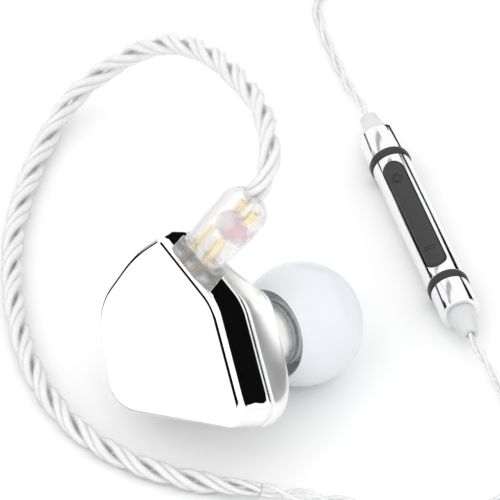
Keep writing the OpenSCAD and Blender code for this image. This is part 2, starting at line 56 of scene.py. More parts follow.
# ---------------------------------------------------------------- driving dimensions, after the CAD's
EDGE_R, COVER_DEPTH, RING_DEPTH, BACK_DEPTH, SHELL_WALL = 0.7, 5.0, 0.9, 10.0, 0.9
SEAM_Z = -COVER_DEPTH - RING_DEPTH
NOZZLE_X, NOZZLE_Y, NOZZLE_TOE, NOZZLE_RISE = 3.6, -0.5, 11, 14
NOZZLE_R, NOZZLE_TOP, NECK_R, NECK_TOP, SOUND_R, MESH_R, MESH_Z = 3.6, 3.2, 2.6, 7.6, 2, 2.32, 7.1
TIP_R, TIP_SKIN, TIP_CENTRE, TIP_STEM_R, TIP_BORE_R = 6.75, 0.5, 6.9, 3.6, 2.65
COLLAR_W, COLLAR_T, COLLAR_CORNER, COLLAR_Y = 6, 3.9, 1.4, -1.6
BLOCK_W, BLOCK_T, BLOCK_CORNER, BLOCK_Y = 4.6, 2.3, 0.8, -3.4
PLUG_W, PLUG_T, PLUG_L, PLUG_CORNER, PLUG_TOP_R, PLUG_TAPER, PLUG_FULL_Y = 5.5, 3.5, 9.1, 1.3, 2.3, 0.6, 4.5
PIN_R, PIN_REACH, PIN_TOP, PIN_PITCH, PIN_SHIFT = 0.39, 2.8, 3.2, 2, -0.3
CRIMP_X, CRIMP_PITCH, CRIMP_Y = 0.5, 1.5, 6.4
HOOK_R, LEAD_R = 1.25, 0.55
COIL_CENTRE, COIL_TURNS, COIL_LAYERS, COIL_R, COIL_Z = (11.9, 76.8), 6, 4, 8.75, 0.95
REMOTE_R, REMOTE_L, PAD_L, PAD_W = 2.2, 28.4, 16.6, 2.3
CAP_L, BAND_L, BORE_R, MICROPHONE_X = 3.7, 1.15, 1.9, 7.3
BARREL_L = REMOTE_L - 2 * (CAP_L + BAND_L)
JACK_R, JACK_L, JACK_BODY_R, JACK_BODY_L, JACK_RELIEF_L, JACK_CORE_R = 1.75, 14, 2.75, 16, 6, 1.1
SLEEVE_L, WASHER_L, CONTACT_L = 6, 0.5, 2


def shift(x, y, z):
    return Matrix.Translation((x, y, z))


def turn(axis, degrees):
    return Matrix.Rotation(math.radians(degrees), 4, axis)


# Frames of the parts that are built along their own axes
ON_MONITOR = shift(-6.3, -2.3, 13.2) @ turn("X", 45) @ turn("Y", -37)
ON_NOZZLE = (ON_MONITOR @ shift(NOZZLE_X, NOZZLE_Y, -BACK_DEPTH)
             @ turn("Y", -NOZZLE_TOE) @ turn("X", 180 + NOZZLE_RISE))
ON_CONNECTOR = ON_MONITOR @ shift(2.65, 8.55, -2.15) @ turn("Z", -45) @ turn("X", -5)
ON_REMOTE = shift(20.5, 25.2, REMOTE_R + 0.12) @ turn("Z", 108) @ turn("X", -17)
ON_JACK = shift(4.4, 85.8, JACK_BODY_R) @ turn("Y", -90)


# ---------------------------------------------------------------- objects
def add_object(name, data):
    """Links a new object to the scene: data is a camera, a light or a bmesh, which is freed."""
    if isinstance(data, bmesh.types.BMesh):
        mesh = bpy.data.meshes.new(name)
        data.to_mesh(mesh)
        data.free()
        data = mesh
    obj = bpy.data.objects.new(name, data)
    bpy.context.scene.collection.objects.link(obj)
    return obj


def smooth(obj, angle):
    """Shades an object smooth, apart from edges that bend by more than the angle."""
    obj.data.shade_smooth()
    obj.data.set_sharp_from_angle(angle=math.radians(angle))


def solid(name, bm):
    """Turns a bmesh in millimetres into an object in metres."""
    bmesh.ops.recalc_face_normals(bm, faces=bm.faces)
    bmesh.ops.scale(bm, vec=(MM, MM, MM), verts=bm.verts)
    return add_object(name, bm)


def finish_mesh(name, bm, slot, replaces=(), angle=32, body="monitor", look=None):
    """Turns a bmesh in millimetres into a piece that rides on a body.
    Its material is the one called after its slot, unless look names a finer one."""
    obj = solid(name, bm)
    smooth(obj, angle)
    obj.data.materials.append(M[look or slot])
    if body:
        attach(obj, body)
    if replaces:
        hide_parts(*replaces)
    return obj


def cut(obj, bm, angle=32):
    """Cuts the shape of a bmesh in millimetres out of an object."""
    cutter = solid("cutter", bm)
    modifier = obj.modifiers.new("cut", "BOOLEAN")
    modifier.operation, modifier.solver, modifier.object = "DIFFERENCE", "EXACT", cutter
    bpy.context.view_layer.update()
    evaluated = obj.evaluated_get(bpy.context.evaluated_depsgraph_get())
    mesh = bpy.data.meshes.new_from_object(evaluated)
    obj.modifiers.clear()
    obj.data = mesh
    bpy.data.objects.remove(cutter)
    smooth(obj, angle)


# ---------------------------------------------------------------- camera
# The photo's view: azimuth 0, VIEW_DOWN degrees down, through a long lens that spans VIEW_WIDTH at the target
VIEW_DOWN, VIEW_WIDTH, LENS, SENSOR = 45, 53.76, 1000, 36
target = Vector((2.09, 11.9, 11.9)) * MM
down = math.radians(VIEW_DOWN)
towards = Vector((0, math.cos(down), -math.sin(down)))
camera_data = bpy.data.cameras.new("camera")
camera_data.lens, camera_data.sensor_width = LENS, SENSOR
camera_data.clip_start, camera_data.clip_end = 0.05, 20
camera = add_object("camera", camera_data)
camera.location = target - towards * (VIEW_WIDTH * MM * LENS / SENSOR)
camera.rotation_euler = (QUARTER - down, 0, 0)
bpy.context.scene.camera = camera


# ---------------------------------------------------------------- surfaces
def skin(bm, rings, closed_ends=True, loop=False):
    """Adds a surface through rings of points that all have the same number of points."""
    made = [[bm.verts.new(p) for p in ring] for ring in rings]
    n = len(made[0])
    pairs = list(zip(made, made[1:])) + ([(made[-1], made[0])] if loop else [])
    for a, b in pairs:
        for j in range(n):
            k = (j + 1) % n
            bm.faces.new((a[j], a[k], b[k], b[j]))
    if closed_ends and not loop:
        bm.faces.new(made[0])
        bm.faces.new(made[-1])
    return made


def lathe(bm, profile, place, segments=96):
    """Adds a solid of revolution about z.
    The profile is a list of (radius, z), closed on itself or ended on the axis."""
    on_axis = profile[0][0] == 0 and profile[-1][0] == 0
    inner = profile[1:-1] if on_axis else profile
    turns = [2 * math.pi * k / segments for k in range(segments)]
    rings = [[place @ Vector((r * math.cos(a), r * math.sin(a), z)) for a in turns] for r, z in inner]
    made = skin(bm, rings, closed_ends=False, loop=not on_axis)
    if on_axis:
        for ring, (_, z) in ((made[0], profile[0]), (made[-1], profile[-1])):
            tip = bm.verts.new(place @ Vector((0, 0, z)))
            for j in range(segments):
                bm.faces.new((ring[j], ring[(j + 1) % segments], tip))


def lathe_piece(name, profile, place, slot, segments=96, angle=32, body="monitor"):
    """A solid of revolution that stands for the CAD node of the same name."""
    bm = bmesh.new()
    lathe(bm, profile, place, segments)
    return finish_mesh(name + "_look", bm, slot, (name,), angle, body, FINER.get(name))


def rounded(points, steps=5):
    """A profile with arcs at its corners: points are (r, z) or (r, z, radius)."""
    out = []
    n = len(points)
    for i, p in enumerate(points):
        radius = p[2] if len(p) > 2 else 0
        here = Vector(p[:2])
        if not radius:
            out.append(tuple(here))
            continue
        a, b = Vector(points[i - 1][:2]), Vector(points[(i + 1) % n][:2])
        da, db = (a - here).normalized(), (b - here).normalized()
        half = math.acos(max(-1, min(1, da.dot(db)))) / 2
        run = radius / math.tan(half)
        start, end = here + da * run, here + db * run
        centre = here + (da + db).normalized() * (radius / math.sin(half))
        u, v = start - centre, end - centre
        sweep = math.acos(max(-1, min(1, u.dot(v) / radius ** 2)))
        for k in range(steps + 1):
            t = k / steps
            w = (math.sin((1 - t) * sweep) * u + math.sin(t * sweep) * v) / math.sin(sweep)
            out.append(tuple(centre + w))
    return out


def rounded_section(place, width, thickness, radius, y, steps=8):
    """A rounded rectangle at height y, with its width along x and its thickness along z."""
    r = min(radius, thickness / 2 - 0.01, width / 2 - 0.01)
    x, z = width / 2 - r, thickness / 2 - r
    ring = []
    for cx, cz, start in ((x, z, 0), (-x, z, 90), (-x, -z, 180), (x, -z, 270)):
        for k in range(steps + 1):
            a = math.radians(start + 90 * k / steps)
            ring.append(place @ Vector((cx + r * math.cos(a), y, cz + r * math.sin(a))))
    return ring


# ---------------------------------------------------------------- lines
def spline(points, step):
    """Points about one step apart on a smooth curve through the given points, and how far along each is.
    The curve is a centripetal Catmull-Rom spline, worked out finely and then spaced evenly."""
    p = [np.array(q, float) for q in points]
    p = [2 * p[0] - p[1]] + p + [2 * p[-1] - p[-2]]
    fine = []
    for a, b, c, d in zip(p, p[1:], p[2:], p[3:]):
        t0 = 0
        t1 = t0 + np.linalg.norm(b - a) ** 0.5
        t2 = t1 + np.linalg.norm(c - b) ** 0.5
        t3 = t2 + np.linalg.norm(d - c) ** 0.5
        for t in np.linspace(t1, t2, 16, endpoint=False):
            a1 = (t1 - t) / (t1 - t0) * a + (t - t0) / (t1 - t0) * b
            a2 = (t2 - t) / (t2 - t1) * b + (t - t1) / (t2 - t1) * c
            a3 = (t3 - t) / (t3 - t2) * c + (t - t2) / (t3 - t2) * d
            b1 = (t2 - t) / (t2 - t0) * a1 + (t - t0) / (t2 - t0) * a2
            b2 = (t3 - t) / (t3 - t1) * a2 + (t - t1) / (t3 - t1) * a3
            fine.append((t2 - t) / (t2 - t1) * b1 + (t - t1) / (t2 - t1) * b2)
    fine.append(p[-2])
    fine = np.array(fine)
    run = np.concatenate([[0], np.cumsum(np.linalg.norm(np.diff(fine, axis=0), axis=1))])
    at = np.linspace(0, run[-1], max(2, round(run[-1] / step) + 1))
    return np.stack([np.interp(at, run, fine[:, k]) for k in range(3)], axis=1), at


def transport(path):
    """Two normals at each point of a path, turning as little as possible along it."""
    tangents = np.gradient(path, axis=0)
    tangents /= np.linalg.norm(tangents, axis=1)[:, None]
    normal = np.cross(tangents[0], np.array([0.0, 0.0, 1.0]))
    normal /= np.linalg.norm(normal)
    normals = []
    for t in tangents:
        normal = normal - normal.dot(t) * t
        normal /= np.linalg.norm(normal)
        normals.append(normal)
    normals = np.array(normals)
    return normals, np.cross(tangents, normals)


def tube(bm, line, radii, sides):
    """Adds a tube with flat ends along a line, with a radius at each point."""
    n, b = transport(line)
    turns = [2 * math.pi * k / sides for k in range(sides)]
    skin(bm, [
        [line[i] + radii[i] * (math.cos(a) * n[i] + math.sin(a) * b[i]) for a in turns]
        for i in range(len(line))
    ])


def strand(path, at, spread, pitch, phase):
    """The centreline of one strand that is wound round a path.
    spread is its distance from the path at each point; pitch is one length or a length at each point."""
    n, b = transport(path)
    turns = np.gradient(at) / pitch
    angle = 2 * np.pi * (np.cumsum(turns) - turns[0]) + phase
    return path + spread[:, None] * (np.cos(angle)[:, None] * n + np.sin(angle)[:, None] * b)


def ease(t):
    """A smooth step from 0 to 1 while t goes from 0 to 1."""
    t = np.clip(t, 0, 1)
    return t * t * (3 - 2 * t)


def ramp(at, a, b, low, high):
    """Goes smoothly from low to high while the length along a cord goes from a to b."""
    return low + (high - low) * ease((at - a) / (b - a))


# ---------------------------------------------------------------- materials
M = {}


def material(name, color, metallic, rough, vary, grain, bump=0.0, bump_grain=None, dark=None, **sockets):
    """Adds a Principled material to M, with noise in its colour, its roughness and, with a bump, its surface.
    rough is the lowest and highest roughness, vary the change of colour, grain the noise cells per metre,
    bump a height in millimetres and dark a second colour. Other sockets are named with _ for a space."""
    M[name] = m = bpy.data.materials.new(name)
    m.use_nodes = True
    tree = m.node_tree
    link = tree.links.new
    shader = tree.nodes["Principled BSDF"]
    coord = tree.nodes.new("ShaderNodeTexCoord")
    tone = tree.nodes.new("ShaderNodeTexNoise")
    tone.inputs["Scale"].default_value = grain
    tone.inputs["Detail"].default_value = 4
    link(coord.outputs["Object"], tone.inputs["Vector"])
    tints = tree.nodes.new("ShaderNodeValToRGB")
    low, high = tints.color_ramp.elements
    low.position, high.position = 0.35, 0.65
    low.color = (*(dark or [c * (1 - vary) for c in color]), 1)
    high.color = (*color, 1)
    link(tone.outputs["Fac"], tints.inputs["Fac"])
    link(tints.outputs["Color"], shader.inputs["Base Color"])
    span = tree.nodes.new("ShaderNodeMapRange")
    span.inputs["From Min"].default_value, span.inputs["From Max"].default_value = 0.3, 0.7
    span.inputs["To Min"].default_value, span.inputs["To Max"].default_value = rough
    link(tone.outputs["Fac"], span.inputs["Value"])
    link(span.outputs["Result"], shader.inputs["Roughness"])
    if bump:
        fine = tree.nodes.new("ShaderNodeTexNoise")
        fine.inputs["Scale"].default_value = bump_grain
        fine.inputs["Detail"].default_value = 3
        link(coord.outputs["Object"], fine.inputs["Vector"])
        relief = tree.nodes.new("ShaderNodeBump")
        relief.inputs["Strength"].default_value = 1
        relief.inputs["Distance"].default_value = bump * MM
        link(fine.outputs["Fac"], relief.inputs["Height"])
        link(relief.outputs["Normal"], shader.inputs["Normal"])
    shader.inputs["Metallic"].default_value = metallic
    for key, value in sockets.items():
        shader.inputs[key.replace("_", " ")].default_value = value


# Metals: colour, metallic, roughness, change of colour, grain, bump and its grain
material("polished_shell", (0.985, 0.985, 0.99), 1, (0.01, 0.025), 0.015, 90)
material("satin_shell", (0.95, 0.955, 0.945), 1, (0.3, 0.37), 0.02, 200)
material("seam_metal", (0.9, 0.9, 0.91), 1, (0.12, 0.2), 0.05, 1500, 0.001, 3000)
material("brushed_metal", (0.88, 0.875, 0.85), 1, (0.24, 0.36), 0.08, 900, 0.004, 2400)
material("lip_metal", (0.78, 0.765, 0.73), 1, (0.2, 0.3), 0.08, 900, 0.003, 2000)
material("steel_mesh", (0.55, 0.55, 0.56), 1, (0.3, 0.45), 0.1, 2500, 0.01, 5000)
material("gold", (0.95, 0.83, 0.56), 1, (0.16, 0.26), 0.08, 1200, 0.003, 2600)
material("magnet", (0.6, 0.6, 0.61), 1, (0.15, 0.3), 0.1, 900, 0.004, 1800)
material("yoke_steel", (0.58, 0.58, 0.6), 1, (0.25, 0.4), 0.1, 900, 0.006, 1800)
material("copper", (0.75, 0.42, 0.22), 1, (0.2, 0.35), 0.12, 4000, 0.02, 7000)
material("satin_metal", (0.9, 0.9, 0.91), 1, (0.07, 0.13), 0.03, 900, 0.0015, 2200)
material("wire_core", (0.985, 0.985, 0.985), 0.1, (0.3, 0.45), 0.1, 2600, 0.02, 2600)
# Opaque plastics, foam and rubber
material("foam", (0.25, 0.25, 0.27), 0, (0.85, 0.95), 0.3, 2500, 0.06, 2500)
material("black_plastic", (0.02, 0.02, 0.021), 0, (0.4, 0.52), 0.25, 1500, 0.006, 4000)
material("key_plastic", (0.028, 0.028, 0.03), 0, (0.42, 0.55), 0.2, 1500, 0.008, 6000)
material("mark_print", (0.006, 0.006, 0.006), 0, (0.2, 0.3), 0.3, 1500, 0.002, 4000)
material("grey_plastic", (0.35, 0.35, 0.37), 0, (0.4, 0.5), 0.1, 1200, 0.006, 3000)
material("film", (0.82, 0.8, 0.72), 0, (0.15, 0.25), 0.05, 800, 0.004, 1500, Coat_Weight=0.5)
material("board", (0.05, 0.22, 0.12), 0, (0.25, 0.4), 0.25, 1800, 0.01, 3000)
material("wire_red", (0.6, 0.06, 0.05), 0, (0.2, 0.3), 0.1, 1500, 0.003, 3000)
material("tie_rubber", (0.035, 0.035, 0.037), 0, (0.6, 0.75), 0.25, 1500, 0.02, 3500)
# What light goes through
material("silicone", (0.885, 0.915, 0.945), 0, (0.28, 0.32), 0.008, 300,
         IOR=1.41, Coat_Weight=0.25, Coat_Roughness=0.12, Alpha=0.8)
material("clear_plastic", (0.965, 0.965, 0.96), 0, (0.05, 0.13), 0.03, 420, 0.02, 420,
         Transmission_Weight=0.88, IOR=1.47, Alpha=0.55)
material("socket_plastic", (0.55, 0.55, 0.55), 0, (0.12, 0.2), 0.06, 500, 0.003, 800,
         Transmission_Weight=0.7, IOR=1.35, Alpha=0.75)
material("clear_jacket", (0.99, 0.99, 0.99), 0, (0.08, 0.16), 0.015, 700, 0.004, 900,
         Transmission_Weight=0.55, IOR=1.38, Alpha=0.55)
material("frosted", (0.95, 0.955, 0.96), 0, (0.35, 0.5), 0.02, 700, 0.01, 1200,
         Transmission_Weight=0.35, IOR=1.4,
         Subsurface_Weight=0.4, Subsurface_Scale=0.5, Subsurface_Radius=(0.003, 0.003, 0.003))
material("glue", (0.985, 0.965, 0.96), 0, (0.2, 0.35), 0.04, 520, 0.02, 900, (0.96, 0.62, 0.72),
         Transmission_Weight=0.15, IOR=1.4,
         Subsurface_Weight=0.4, Subsurface_Scale=0.4, Subsurface_Radius=(0.002, 0.002, 0.002))
# The floor, and the cards round it that only reflections see
material("floor", (0.93, 0.93, 0.93), 0, (0.9, 0.95), 0.004, 60)
material("card", (0.004, 0.004, 0.0045), 0, (0.9, 1.0), 0.1, 3, Specular_IOR_Level=0)
material("pale_card", (0.42, 0.42, 0.42), 0, (0.9, 1.0), 0.1, 3, Specular_IOR_Level=0)

# Pieces of revolution with a finer look than their slot's own
FINER = {"remote_relief_lower": "frosted", "remote_relief_upper": "frosted", "jack_relief": "frosted"}

# Every CAD node first gets the finish of its own slot; the ones that a finer piece replaces are hidden below
slot_of = {part["node"]: part["material_slot"] for part in frame["record"]["subparts"]}
for node_name, node in frame["nodes"].items():
    node.data.materials.clear()
    node.data.materials.append(M[slot_of[node_name]])
    smooth(node, 30)

# ---------------------------------------------------------------- routes of the cords, the same as the CAD's
HOOK_ROUTE = [
    (2.15, 6.25, 25.5), (3.4, 6.75, 27), (4.2, 9, 28.6), (4.1, 12.4, 28.6), (3.1, 18.6, 27.1),
    (1, 24.8, 24.7), (-1.7, 31.8, 21.3), (-4.5, 37, 18), (-7.3, 40.8, 14.7), (-10.1, 43.4, 11.1),
    (-12.9, 44.8, 7.6), (-15.5, 45.2, 4.6), (-17.8, 44, 2.4), (-19.6, 40.8, 1.4), (-21, 37, 1.25),
    (-22.5, 31.3, 1.25), (-23.5, 25.3, 1.25), (-23.7, 19.3, 1.25), (-23.2, 12.8, 1.25), (-21.9, 6.3, 1.25),
    (-19.3, -0.2, 1.25), (-15.3, -5.8, 1.25), (-9.7, -10, 1.25), (-3.5, -12.4, 1.25), (3.3, -13.6, 1.25)]
EAR_ROUTE = [
    (3.3, -13.6, 1.25), (6.9, -14.3, 1.15), (10.3, -14.8, 0.9), (13.5, -15.5, 0.7), (16.7, -16.4, 0.55),
    (20.1, -17.1, 0.55), (23.6, -17.1, 0.55), (26.9, -15.8, 0.55), (29.5, -13.4, 0.55), (30.9, -10.2, 0.55),
    (31.3, -6.7, 0.55), (30.9, -3.2, 0.55), (29.9, 0, 0.6), (28.7, 2.7, 0.9), (27.6, 4.9, 1.6),
    (26.5, 6.8, 2.2), (25.9, 8.6, 2.32)]
PLUG_ROUTE = [
    (15.1, 41.8, 2.32), (14.5, 43.7, 2.15), (13.7, 46.2, 1.5), (12.7, 49.1, 0.8), (11.7, 52.2, 0.55),
    (10.7, 55.4, 0.55), (9.8, 58.6, 0.55), (9.5, 61.8, 0.55), (10.7, 64.6, 0.55), (13.1, 66.1, 0.55),
    (16.1, 67.4, 0.55), (18.8, 69.8, 0.55), (20.3, 73.2, 0.55)]
JACK_ROUTE = [
    (9.3, 85.8, 3.85), (7.9, 85.8, 3.7), (6.7, 85.8, 3.2), (5.6, 85.8, 2.85), (4.4, 85.8, 2.75)]


def coil_points():
    """The stored coil: layers of turns side by side, in and out again, each layer on the one below.
    Near its end, each turn steps over to the next turn's place, or up to the next layer's height."""
    pitch = 2 * LEAD_R
    start, end = 2, 84 + 360 * (COIL_TURNS * COIL_LAYERS - 1)
    every, step_from, step_length = 12, 0.72, 0.25
    out = []
    for a in range(start, end, every):
        whole, part = divmod(a / 360, 1)
        step = ease((part - step_from) / step_length)
        layer, place = divmod(int(whole), COIL_TURNS)
        inward = layer % 2 == 0
        r = COIL_R - pitch * (place if inward else COIL_TURNS - 1 - place)
        z = COIL_Z + pitch * layer
        if place < COIL_TURNS - 1:
            r -= pitch * step * (1 if inward else -1)
        elif layer < COIL_LAYERS - 1:
            z += pitch * step
        t = math.radians(a)
        out.append((COIL_CENTRE[0] + r * math.cos(t), COIL_CENTRE[1] + r * math.sin(t), z))
    return out


# ---------------------------------------------------------------- cords
# The ear hook: two pairs of strands twisted together, each strand a clear jacket round a silver core.
# It closes up at the plug, and over its last stretch it thins to the lead that goes on from it.
STRAND_R, STRAND_END_R, STRAND_CORE = 0.52, 0.3, 0.66  # radii, and the core's share of them
SPREAD, END_SPREAD, PLUG_SPREAD = 0.72, 0.5, 0.8  # from the rope's axis; the last is a share, at the plug
PITCH, END_PITCH = 13, 9.8  # the rope is wound tighter from its middle on
THINNING, FIRST_PHASE, PHASE_IN_PAIR = 7, 0.6, 1.05
hook_line, hook_at = spline(HOOK_ROUTE, 0.5)
hook_len = hook_at[-1]
thin_from = hook_len - THINNING
hook_spread = ramp(hook_at, thin_from, hook_len, SPREAD, END_SPREAD) * ramp(hook_at, 0, 1.5, PLUG_SPREAD, 1)
hook_pitch = ramp(hook_at, 45, 80, PITCH, END_PITCH)
jacket_r = ramp(hook_at, thin_from, hook_len, STRAND_R, STRAND_END_R)
core_r = jacket_r * STRAND_CORE
hook_jackets, hook_cores = bmesh.new(), bmesh.new()
for phase in (0, PHASE_IN_PAIR, math.pi, math.pi + PHASE_IN_PAIR):
    line = strand(hook_line, hook_at, hook_spread, hook_pitch, phase + FIRST_PHASE)
    tube(hook_jackets, line, jacket_r, 14)
    tube(hook_cores, line, core_r, 10)
hook = finish_mesh("ear_hook_rope", hook_jackets, "clear_jacket", ("ear_hook_cable",), 60, body=None)
core = finish_mesh("ear_hook_cores", hook_cores, "clear_jacket", (), 60, body=None, look="wire_core")
# The rope and its cores are baked in place and ride on no body
for rope in (hook, core):
    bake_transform(rope)


def twisted_pair(name, line, at, spread, wire_r, pitch, replaced, sides):
    """A twisted pair of clear leads with silver cores along a line; returns the leads and their cores."""
    core_share, first_phase = 0.6, 0.4
    jackets, cores = bmesh.new(), bmesh.new()
    for k in range(2):
        wound = strand(line, at, spread, pitch, math.pi * k + first_phase)
        tube(jackets, wound, wire_r, sides)
        tube(cores, wound, wire_r * core_share, 6)
    return (finish_mesh(name, jackets, "clear_jacket", replaced, 60),
            finish_mesh(name + "_cores", cores, "clear_jacket", (), 60, look="wire_core"))


# The thin leads: the first one starts about as wide as the hook ends
WIRE_R, WIRE_SPREAD = 0.26, 0.27
ear_line, ear_at = spline(EAR_ROUTE, 0.5)
ear_spread = ramp(ear_at, 2, 30, 0.56, WIRE_SPREAD) * ramp(ear_at, 0, 3, 0.9, 1)
ear_wire_r = ramp(ear_at, 0, 20, STRAND_END_R, WIRE_R)
ear_lead, ear_cores = twisted_pair(
    "ear_lead_pair", ear_line, ear_at, ear_spread, ear_wire_r, 8.4, ("ear_lead",), 10)
plug_line, plug_at = spline(PLUG_ROUTE + coil_points() + JACK_ROUTE, 0.6)
all_along = np.ones(len(plug_at))
plug_lead, plug_cores = twisted_pair(
    "plug_lead_pair", plug_line, plug_at, WIRE_SPREAD * all_along, WIRE_R * all_along, 7.8,
    ("plug_lead", "cable_coil", "jack_lead"), 8)

# ---------------------------------------------------------------- shells of the monitor
# Corners of the outlines, seen from the face: x, y and the corner's radius
FACE = [(-1.7, 9.95, 0.3), (-5, 8.2, 12), (-9.8, 2.9, 5), (-7.8, -7.3, 4), (9.3, -9.4, 1.3), (5.2, 3.05, 6)]
SEAM = [(-2.1, 11.35, 0.6), (-5.4, 8.8, 12), (-10.5, 3.1, 5.7), (-8.4, -7.9, 4.7), (10.3, -10.2, 2.2),
        (5.8, 3.4, 6.7)]
BACK = [(0, 7.6, 2), (-3, 5.4, 4), (-6, 2.6, 3), (-2, -3.2, 2.5), (8, -5, 2.8), (7.1, 4.2, 2.4)]
FACE_HALF = 9  # about half the width of the face
ROOM = 0.05  # space round the socket in the cover
RIM_R = 0.14  # rounding of the rims at the seam


def outline(corners, grow=0.0, arc=14, straight=8):
    """A filleted outline grown outward, with arc steps round each corner and more along its straight runs."""
    arcs = []
    n = len(corners)
    for i, (x, y, r) in enumerate(corners):
        p = np.array([x, y])
        d1 = p - np.array(corners[i - 1][:2])
        d2 = np.array(corners[(i + 1) % n][:2]) - p
        d1, d2 = d1 / np.linalg.norm(d1), d2 / np.linalg.norm(d2)
        bend = math.atan2(d1[0] * d2[1] - d1[1] * d2[0], d1.dot(d2))
        start = math.atan2(d1[1], d1[0]) - QUARTER
        centre = p - d1 * r * math.tan(bend / 2) - r * np.array([math.cos(start), math.sin(start)])
        angles = [start + bend * k / arc for k in range(arc + 1)]
        arcs.append([centre + (r + grow) * np.array([math.cos(a), math.sin(a)]) for a in angles])
    out = []
    for i, points in enumerate(arcs):
        here, after = points[-1], arcs[(i + 1) % n][0]
        out += points + [here + (after - here) * k / straight for k in range(1, straight)]
    return np.array(out)


def level(ring, z):
    """An outline at one depth below the face."""
    return [ON_MONITOR @ Vector((x, y, z)) for x, y in ring]


def back_z(x, y):
    """Depth of the back, a plane that faces along the nozzle."""
    toe, rise = math.radians(NOZZLE_TOE), math.radians(NOZZLE_RISE)
    return -BACK_DEPTH + math.tan(toe) * (x - NOZZLE_X) + math.tan(rise) / math.cos(toe) * (y - NOZZLE_Y)


def front_cover():
    """The flat polished face with its rounded edge and its side wall, cut out for the socket."""
    side_wall = ((0.12, -0.95), (0.4, -1.7), (0.75, -2.4), (0.94, -2.75), (1, -3.1), (1, -4), (1, -4.8))
    edge_steps, rim_steps = 8, 4
    flat, edge, seam = outline(FACE), outline(FACE, EDGE_R), outline(SEAM)
    rings = []
    for inset in (2.5, 0.6, 0.15):
        shrink = 1 - inset / FACE_HALF
        corners = [(x * shrink, y * shrink, max(0.2, r * shrink)) for x, y, r in FACE]
        rings.append(level(outline(corners), 0))
    for k in range(edge_steps + 1):
        a = QUARTER * k / edge_steps
        rings.append(level(outline(FACE, EDGE_R * math.sin(a)), -EDGE_R * (1 - math.cos(a))))
    for share, z in side_wall:
        rings.append(level(edge + (seam - edge) * share, z))
    for k in range(1, rim_steps + 1):
        a = QUARTER * k / rim_steps
        inset, lift = RIM_R * (1 - math.cos(a)), RIM_R * (1 - math.sin(a))
        rings.append(level(outline(SEAM, -inset), lift - COVER_DEPTH))
    rings += [level(flat, -COVER_DEPTH), level(flat, -EDGE_R)]
    bm = bmesh.new()
    skin(bm, rings)
    cover = finish_mesh("front_cover_look", bm, "polished_shell", ("front_cover",), 40)
    bm = bmesh.new()
    for width, thickness, corner, bottom, top in ((COLLAR_W, COLLAR_T, COLLAR_CORNER, COLLAR_Y, 3),
                                                  (BLOCK_W, BLOCK_T, BLOCK_CORNER, BLOCK_Y, COLLAR_Y)):
        skin(bm, [rounded_section(ON_CONNECTOR, width + 2 * ROOM, thickness + 2 * ROOM, corner + ROOM, y)
                  for y in (bottom - ROOM, top)])
    cut(cover, bm, 40)


def mid_ring():
    """The thin bright band at the seam, set back a little and rounded at both edges."""
    flat, top, bottom = outline(FACE), -COVER_DEPTH, SEAM_Z
    edge = ((-0.25, 0), (-0.13, 0.03), (-0.08, 0.12))
    section = [(grow, top - depth) for grow, depth in edge]
    section += [(grow, bottom + depth) for grow, depth in reversed(edge)]
    bm = bmesh.new()
    skin(bm, [level(outline(SEAM, grow), z) for grow, z in section] + [level(flat, bottom), level(flat, top)],
         loop=True)
    finish_mesh("mid_ring_look", bm, "seam_metal", ("mid_ring",), 40)


def shell_ring(rim, back, t, short=0.0):
    """A ring of the rear shell: a quarter of an ellipse from the rim, t = 0, to the back, t = 1."""
    out = []
    for p, q in zip(rim, back):
        x, y = p + (q - p) * (1 - math.cos(QUARTER * t))
        z = SEAM_Z + (back_z(x, y) + short - SEAM_Z) * math.sin(QUARTER * t)
        out.append(ON_MONITOR @ Vector((x, y, z)))
    return out


def rear_shell():
    """The rear shell, from the inside over the rounded rim to the flat back."""
    rim, back = outline(SEAM), outline(BACK)
    rim_in, back_in = outline(FACE, -0.2), outline(BACK, -SHELL_WALL)
    inside_steps, steps, centre = 8, 22, np.array([1.0, 0.5])
    rings = [shell_ring(rim_in, back_in, k / inside_steps, SHELL_WALL + 0.4)
             for k in range(inside_steps, -1, -1)]
    rings.append(shell_ring(outline(SEAM, -RIM_R), back, 0))
    rings += [shell_ring(rim, back, t) for t in (0.012, 0.03)]
    rings += [shell_ring(rim, back, k / steps) for k in range(1, steps + 1)]
    for inset in (0.25, 0.6, 0.85):
        rings.append([ON_MONITOR @ Vector((x, y, back_z(x, y))) for x, y in back + (centre - back) * inset])
    bm = bmesh.new()
    skin(bm, rings)
    finish_mesh("rear_shell_look", bm, "polished_shell", ("rear_shell",), 40, look="satin_shell")


front_cover()
mid_ring()
rear_shell()

# ---------------------------------------------------------------- nozzle and ear tip
LIP_Z = 2.55  # where the nozzle's turned step is
lathe_piece("nozzle", rounded([
    (SOUND_R, -2), (NOZZLE_R - 0.02, -2), (NOZZLE_R - 0.02, LIP_Z), (NOZZLE_R, LIP_Z + 0.07, 0.05),
    (NOZZLE_R, NOZZLE_TOP, 0.16), (NECK_R, NOZZLE_TOP), (NECK_R, NECK_TOP, 0.2), (MESH_R, NECK_TOP, 0.05),
    (MESH_R, MESH_Z), (SOUND_R, MESH_Z)]), ON_NOZZLE, "brushed_metal", 128)
bm = bmesh.new()
lathe(bm, rounded([(3.55, LIP_Z - 0.05), (3.62, LIP_Z - 0.05, 0.03), (3.62, LIP_Z + 0.03, 0.03),
                   (3.55, LIP_Z + 0.03)]), ON_NOZZLE, 128)
finish_mesh("nozzle_lip_look", bm, "brushed_metal", look="lip_metal")


def dome(r, a, b, steps):
    """An arc round the middle of the ear tip's flange."""
    angles = [math.radians(a + (b - a) * k / steps) for k in range(steps + 1)]
    return [(r * math.cos(angle), TIP_CENTRE + r * math.sin(angle)) for angle in angles]


